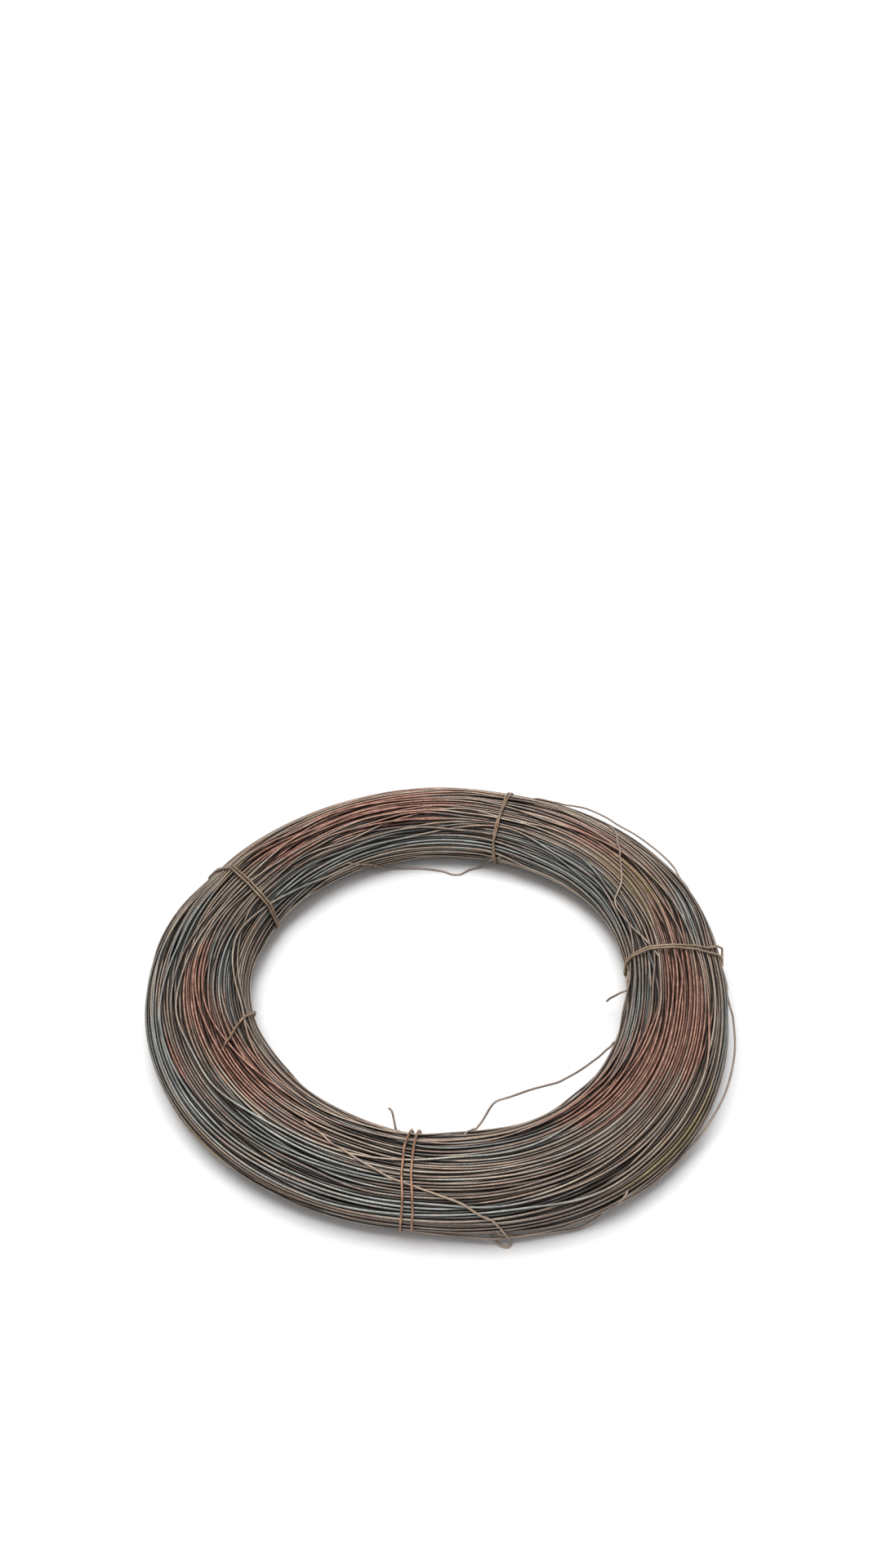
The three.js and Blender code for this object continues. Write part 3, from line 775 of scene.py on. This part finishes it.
def limits(tree, value, before, after=(0.0, 1.0)):
    """A value brought smoothly from one range to another."""
    (low, high), (to_low, to_high) = before, after
    inputs = {"Value": value, "From Min": low, "From Max": high, "To Min": to_low, "To Max": to_high}
    node = add_node(tree, "ShaderNodeMapRange", inputs, interpolation_type="SMOOTHSTEP")
    return node.outputs["Result"]


def mix(tree, factor, first, second, blend="MIX"):
    """Two colours, mixed. 0, 6, 7 and output 2 are the node's sockets for colours."""
    inputs = {0: factor, 6: first, 7: second}
    return add_node(tree, "ShaderNodeMix", inputs, data_type="RGBA", blend_type=blend).outputs[2]


def patchy(tree, patch, own, own_weight, streaks):
    """A patch that takes some wires more than others and breaks up into streaks along them. Both the
    wires' own numbers and the streaks lie around 0.5."""
    own_part = math_node(tree, "MULTIPLY_ADD", field(tree, own), own_weight, -own_weight / 2)
    streaked = math_node(tree, "ADD", field(tree, patch), math_node(tree, "SUBTRACT", streaks, 0.5))
    return math_node(tree, "ADD", streaked, own_part)


# How fine each pattern along the wires is, as a noise scale.
STREAK_SCALE = 38.0
COLD_SCALE = 24.0
OLIVE_SCALE = 27.0
RUST_SCALE = 45.0
RUST_FLECK_SCALE = 110.0
GRAIN_SCALE = 900.0
GLOSS_SCALE = 260.0
BUMP_SCALE = 700.0
MOST_NOISE = (0.3, 0.7)  # the range that most of a noise lies in
GRAIN_NOISE = (0.25, 0.75)  # the same for the grain's

TONE_SPREAD = 0.4  # of the wires' own tones
STREAK_SPREAD = 0.3  # of the streaks along a wire
# How much a wire's own number weighs in whether it takes a patch.
COLD_OWN = 0.7
OLIVE_OWN = 0.5
RUST_OWN = 0.5
# The strengths of a patch between which it fades in.
COLD_FADE = (0.15, 0.55)
OLIVE_FADE = (0.35, 0.7)
RUST_FADE = (0.15, 0.7)
RUST_COVER = (0.0, 0.9)  # how far rust hides the wire
RUST_FLECKING = 0.5  # how much of the rust's tone isn't the wire's
GRAIN_LIGHT = (0.8, 1.2)  # the light and dark of the grain
PAINTED_SHADING_RANGE = (0.25, 1.22)  # painted shade and light: from a buried wire, darkest, to one that stands out, lit above its own colour
GLOSS_ROUGHNESS = (0.3, 0.55)
METALLIC = 0.5
BUMP_STRENGTH = 0.3
BUMP_HEIGHT = 0.0002
MIDDLING = 0.5  # a wire's own number, where none is drawn

WIRE_TONES = [
    (0.0, "443831"), (0.2, "66574d"), (0.36, "7c6c62"), (0.48, "887b71"), (0.6, "93806f"),
    (0.72, "9b8f81"), (0.85, "aa9a89"), (1.0, "c8bba9"),
]
RUST_TONES = [(0.0, "66463b"), (0.35, "896254"), (0.7, "a97c6b"), (1.0, "c29c87")]
COLD_TONES = [(0.0, "454644"), (0.35, "6d6e6a"), (0.7, "92948f"), (1.0, "b6b7af")]
OLIVE_TONES = [(0.0, "4c432e"), (0.5, "847657"), (1.0, "b0a27b")]
TIE_TONES = [(0.0, "4c3d31"), (0.4, "715f4f"), (0.7, "917d69"), (1.0, "bdac96")]
TIE_RUST_TONES = [(0.0, "5f4233"), (0.5, "8a6550"), (1.0, "b58c6c")]


def wire_colour(tree, tones, rust):
    """Each wire's own tone with streaks along it, then its patches, and painted shade where it is
    buried, with painted light where it stands out.
    """
    streaks = limits(tree, noise(tree, STREAK_SCALE), MOST_NOISE)
    darkest = 0.5 - TONE_SPREAD / 2 - STREAK_SPREAD / 2
    tone = math_node(tree, "MULTIPLY_ADD", field(tree, "tone"), TONE_SPREAD, darkest)
    tone = math_node(tree, "MULTIPLY_ADD", streaks, STREAK_SPREAD, tone)
    base = ramp(tree, tone, tones)
    cold = patchy(tree, "cold", "tint", COLD_OWN, noise(tree, COLD_SCALE))
    base = mix(tree, limits(tree, cold, COLD_FADE), base, ramp(tree, tone, COLD_TONES))
    olive = patchy(tree, "olive", "tint", OLIVE_OWN, noise(tree, OLIVE_SCALE))
    base = mix(tree, limits(tree, olive, OLIVE_FADE), base, ramp(tree, tone, OLIVE_TONES))
    rusty = patchy(tree, "rust", "bloom", RUST_OWN, noise(tree, RUST_SCALE, detail=4.0, roughness=0.6))
    flecks = limits(tree, noise(tree, RUST_FLECK_SCALE), MOST_NOISE)
    wires_part = math_node(tree, "MULTIPLY", tone, 1 - RUST_FLECKING)
    rust_tone = math_node(tree, "MULTIPLY_ADD", flecks, RUST_FLECKING, wires_part)
    base = mix(tree, limits(tree, rusty, RUST_FADE, RUST_COVER), base, ramp(tree, rust_tone, rust))
    grain = limits(tree, noise(tree, GRAIN_SCALE, detail=2.0), GRAIN_NOISE, GRAIN_LIGHT)
    # Painted shade and light: the colour is darkened where the turn lies low among its neighbours and
    # down its sides, and lightened where it stands out.
    exposed = limits(tree, field(tree, "exposed"), (0.0, 1.0), PAINTED_SHADING_RANGE)
    return mix(tree, 1.0, base, math_node(tree, "MULTIPLY", grain, exposed), "MULTIPLY")


def wire_material(name, tones, rust):
    """Annealed steel wire."""
    material = bpy.data.materials.new(name)
    material.use_nodes = True
    tree = material.node_tree
    shader = tree.nodes["Principled BSDF"]
    tree.links.new(wire_colour(tree, tones, rust), shader.inputs["Base Color"])
    roughness = limits(tree, noise(tree, GLOSS_SCALE), MOST_NOISE, GLOSS_ROUGHNESS)
    tree.links.new(roughness, shader.inputs["Roughness"])
    shader.inputs["Metallic"].default_value = METALLIC
    bump = add_node(tree, "ShaderNodeBump", {
        "Strength": BUMP_STRENGTH, "Distance": BUMP_HEIGHT, "Height": noise(tree, BUMP_SCALE),
    })
    tree.links.new(bump.outputs["Normal"], shader.inputs["Normal"])
    return material


# Where the wire has red rust, where it is still blue-grey and where it is olive:
# (bearing, around, reach of bearing, reach of around, strength).
RUST_PATCHES = [
    (309, 117, 13, 22, 1.0), (328, 102, 15, 26, 0.9), (345, 84, 15, 26, 0.9), (335, 61, 9, 11, 0.8),
    (358, 88, 9, 26, 0.6), (192, 90, 18, 14, 1.0), (214, 106, 17, 22, 1.0), (206, 47, 5, 5, 1.0),
    (108, 84, 26, 32, 0.85), (137, 95, 10, 30, 0.75), (100, 112, 12, 20, 0.6), (48, 90, 18, 24, 0.6),
    (15, 100, 14, 26, 0.5), (240, 98, 12, 8, 0.5),
]
COLD_PATCHES = [
    (268, 28, 24, 22, 0.75), (240, 60, 20, 20, 0.6), (205, 26, 22, 20, 0.8), (172, 62, 14, 12, 0.7),
    (181, 120, 15, 12, 0.9), (282, 108, 18, 20, 0.5), (347, 140, 20, 16, 0.7), (16, 54, 10, 18, 0.7),
    (50, 137, 24, 14, 0.8), (140, 120, 7, 20, 0.7), (348, 10, 10, 16, 0.6), (115, 150, 22, 16, 0.5),
    (40, 165, 30, 20, 0.8), (90, 160, 28, 16, 0.7), (140, 160, 22, 16, 0.7),
]
OLIVE_PATCHES = [
    (315, 16, 16, 18, 0.75), (30, 100, 24, 30, 0.5), (222, 2, 14, 12, 0.5), (150, 70, 12, 20, 0.4),
]


def patch_field(bearings, around, patches):
    """How strongly some soft patches show at each place."""
    clear = np.ones(np.broadcast(bearings, around).shape)
    for bearing, middle, reach, reach_around, strength in patches:
        off = short_way(np.degrees(bearings), bearing)
        off_around = short_way(around, middle)
        shown = strength * np.exp(-(off / reach) ** 2 - (off_around / reach_around) ** 2)
        clear = clear * (1 - shown)
    return 1 - clear


def own_field(wires):
    """A random number for each of some wires round the ring."""
    return np.repeat(rng.uniform(0, 1, wires)[:, None], BEARINGS, axis=1)


def lap_lay(places):
    """The lay of wires round the ring, from their places in the pattern: (wires, BEARINGS, 3)."""
    x, y = MEAN_RADIUS * np.cos(LAP), MEAN_RADIUS * np.sin(LAP)
    return np.stack(np.broadcast_arrays(x, y, places[:, None]), axis=-1)


# ---------------------------------------- the pieces


def painted_shading_field():
    """How far each corner of each turn stands out among its neighbours, from 0 to 1, as painted light
    and shade: corners below their neighbours or down a wire's side from its crown get painted shade.
    """
    corners = np.arange(TURN_SIDES) * 2 * math.pi / TURN_SIDES
    below_crown = WIRE_D / 2 * (1 - np.cos(corners))
    shade_strength = lobed(PAINTED_SHADE, PAINTED_SHADE_LOBES, LAP)[:, None]
    exposed = []
    for shares, heights in zip(turn_shares, turn_heights):
        apart = short_way(turn_shares, shares, 1) * bed.length
        beside = np.where(np.abs(apart) < BESIDE, turn_heights, 0.0).max(axis=0)
        exposed.append(1 - shade_strength * ((beside - heights)[:, None] / BURIED + below_crown / CREVICE))
    return np.clip(exposed, 0, 1)


def make_turns():
    """The turns, shared out over some pieces."""
    lines, normals, arounds = [], [], []
    for shares, heights in zip(turn_shares, turn_heights):
        across, level, normal = bed.lifted(shares, heights, lowest_turn(LAP))
        lines.append(bed.in_ring(across, level))
        normals.append(bed.turned(normal))
        arounds.append(bed.around(shares))
    lines, normals, arounds = np.array(lines), np.array(normals), np.array(arounds)
    turns = len(lines)
    fields = {
        "tone": own_field(turns),
        "tint": own_field(turns),
        "bloom": own_field(turns),
        "lay": lap_lay(np.arange(turns) * TURN_LAY),
        # painted light and shade of each corner of each turn
        "exposed": painted_shading_field(),
        "rust": patch_field(LAP[None, :], arounds, RUST_PATCHES),
        "cold": patch_field(LAP[None, :], arounds, COLD_PATCHES),
        "olive": patch_field(LAP[None, :], arounds, OLIVE_PATCHES),
    }
    for group in range(TURN_GROUPS):
        chosen = slice(group, turns, TURN_GROUPS)
        piece = sweep(f"turns_{group + 1}", lines[chosen], normals[chosen], WIRE_D, TURN_SIDES, True)
        paint(piece, TURN_SIDES, **{name: values[chosen] for name, values in fields.items()})
        stand_in(piece, "wire_coil", annealed)


def make_wire(node, course, diameter, sides, look, material):
    """One open wire in a CAD node's place. course is its line and normals, and look has its tone and
    rust."""
    line, normals = course
    piece = sweep(f"{node}_wire", line[None], normals[None], diameter, sides, False)
    lay = np.zeros((1, len(line), 3))
    lay[..., 0] = np.linspace(0, len(line) * LOOSE_STEP, len(line))
    lay[..., 2] = LOOSE_LAY + len(bpy.data.meshes)
    # The loose lengths and ties take the fullest painted light, as wires that stand out.
    paint(piece, sides, lay, tone=look["tone"], tint=0.0, bloom=MIDDLING, exposed=1.0,
          rust=look.get("rust", 0.0), cold=0.0, olive=0.0)
    stand_in(piece, node, material)


def make_core():
    """What lies beneath the turns that show; it takes the darkest painted shade, as buried wire."""
    section = Section(LAP, BED_DEPTH + CORE_DEPTH)
    rows = []
    for side in range(CORE_SIDES):
        across, level, _ = section.at(np.full(BEARINGS, side / CORE_SIDES))
        rows.append(section.in_ring(across, level))
    faces = []
    for bearing in range(BEARINGS):
        here = bearing * CORE_SIDES
        there = (bearing + 1) % BEARINGS * CORE_SIDES
        for side in range(CORE_SIDES):
            after = (side + 1) % CORE_SIDES
            faces.append((here + side, there + side, there + after, here + after))
    core = add_piece("bundle_core", np.array(rows).transpose(1, 0, 2), faces)
    lay = lap_lay(CORE_LAY * np.arange(CORE_SIDES)).transpose(1, 0, 2)
    # The core takes the darkest painted shade.
    paint(core, 1, lay, tone=CORE_TONE, tint=MIDDLING, bloom=MIDDLING, exposed=0.0, rust=0.0,
          cold=0.0, olive=0.0)
    stand_in(core, "wire_coil", annealed)


annealed = wire_material("annealed_wire", WIRE_TONES, RUST_TONES)
tying = wire_material("tie_wire", TIE_TONES, TIE_RUST_TONES)

make_turns()
make_core()
for node, length in LOOSE_LENGTHS.items():
    make_wire(node, loose_line(length["places"]), WIRE_D, LOOSE_SIDES, length, annealed)
for node, tie in TIES.items():
    make_wire(node, tie_line(tie["course"]), TIE_D, TIE_SIDES, tie, tying)
inner_course = loose_line(INNER_TIE["places"], TIE_D)
make_wire("tie_inner_left", inner_course, TIE_D, TIE_SIDES, INNER_TIE, tying)

# ---------------------------------------- stage


def seen_plainly(tree):
    """1 for the camera's rays and for those it sees in a reflection or through glass."""
    path = add_node(tree, "ShaderNodeLightPath").outputs
    seen = math_node(tree, "MAXIMUM", path["Is Camera Ray"], path["Is Glossy Ray"])
    return math_node(tree, "MAXIMUM", seen, path["Is Transmission Ray"])


def make_stage():
    """The floor: white as it is seen, and light grey as it lights the coil."""
    bpy.ops.mesh.primitive_plane_add(size=FLOOR_SIZE)
    floor = bpy.context.object
    floor.name = "floor"
    material = bpy.data.materials.new("floor")
    material.use_nodes = True
    tree = material.node_tree
    shader = tree.nodes["Principled BSDF"]
    tree.links.new(mix(tree, seen_plainly(tree), FLOOR_GREY, WHITE), shader.inputs["Base Color"])
    shader.inputs["Roughness"].default_value = 1.0
    shader.inputs["Specular IOR Level"].default_value = 0.0
    floor.data.materials.append(material)


def make_light():
    """An even white sky, which is seen brighter than it lights, and a soft sun."""
    world = bpy.data.worlds.new("sky")
    world.use_nodes = True
    tree = world.node_tree
    background = tree.nodes["Background"]
    background.inputs["Color"].default_value = WHITE
    strength = limits(tree, seen_plainly(tree), (0.0, 1.0), (SKY_LEVEL, 1.0))
    tree.links.new(strength, background.inputs["Strength"])
    bpy.context.scene.world = world
    light = bpy.data.lights.new("soft_sun", "SUN")
    light.energy = SUN_LEVEL
    light.angle = math.radians(SUN_WIDTH)
    lamp = bpy.data.objects.new("soft_sun", light)
    lamp.rotation_euler = Vector(SUN_FROM).to_track_quat("Z", "Y").to_euler()
    bpy.context.scene.collection.objects.link(lamp)


def make_camera():
    """The photo's own view."""
    data = bpy.data.cameras.new("camera")
    camera = bpy.data.objects.new("camera", data)
    bpy.context.scene.collection.objects.link(camera)
    width, height = PHOTO_SIZE
    tilt = math.radians(CAMERA_ELEVATION)
    right = Vector((1, 0, 0))
    up = Vector((0, math.sin(tilt), math.cos(tilt)))
    forward = Vector((0, math.cos(tilt), -math.sin(tilt)))
    off_x = (RING_CENTRE_PIXEL[0] - width / 2) / FOCAL_PIXELS * CAMERA_DISTANCE
    off_y = (height / 2 - RING_CENTRE_PIXEL[1]) / FOCAL_PIXELS * CAMERA_DISTANCE
    camera.location = RING_CENTRE - forward * CAMERA_DISTANCE - right * off_x - up * off_y
    camera.rotation_euler = (math.pi / 2 - tilt, 0, 0)
    data.sensor_width = SENSOR
    data.sensor_fit = "AUTO"
    data.lens = FOCAL_PIXELS / max(PHOTO_SIZE) * SENSOR
    bpy.context.scene.camera = camera


make_stage()
make_light()
make_camera()
bpy.context.scene.view_settings.view_transform = "Standard"
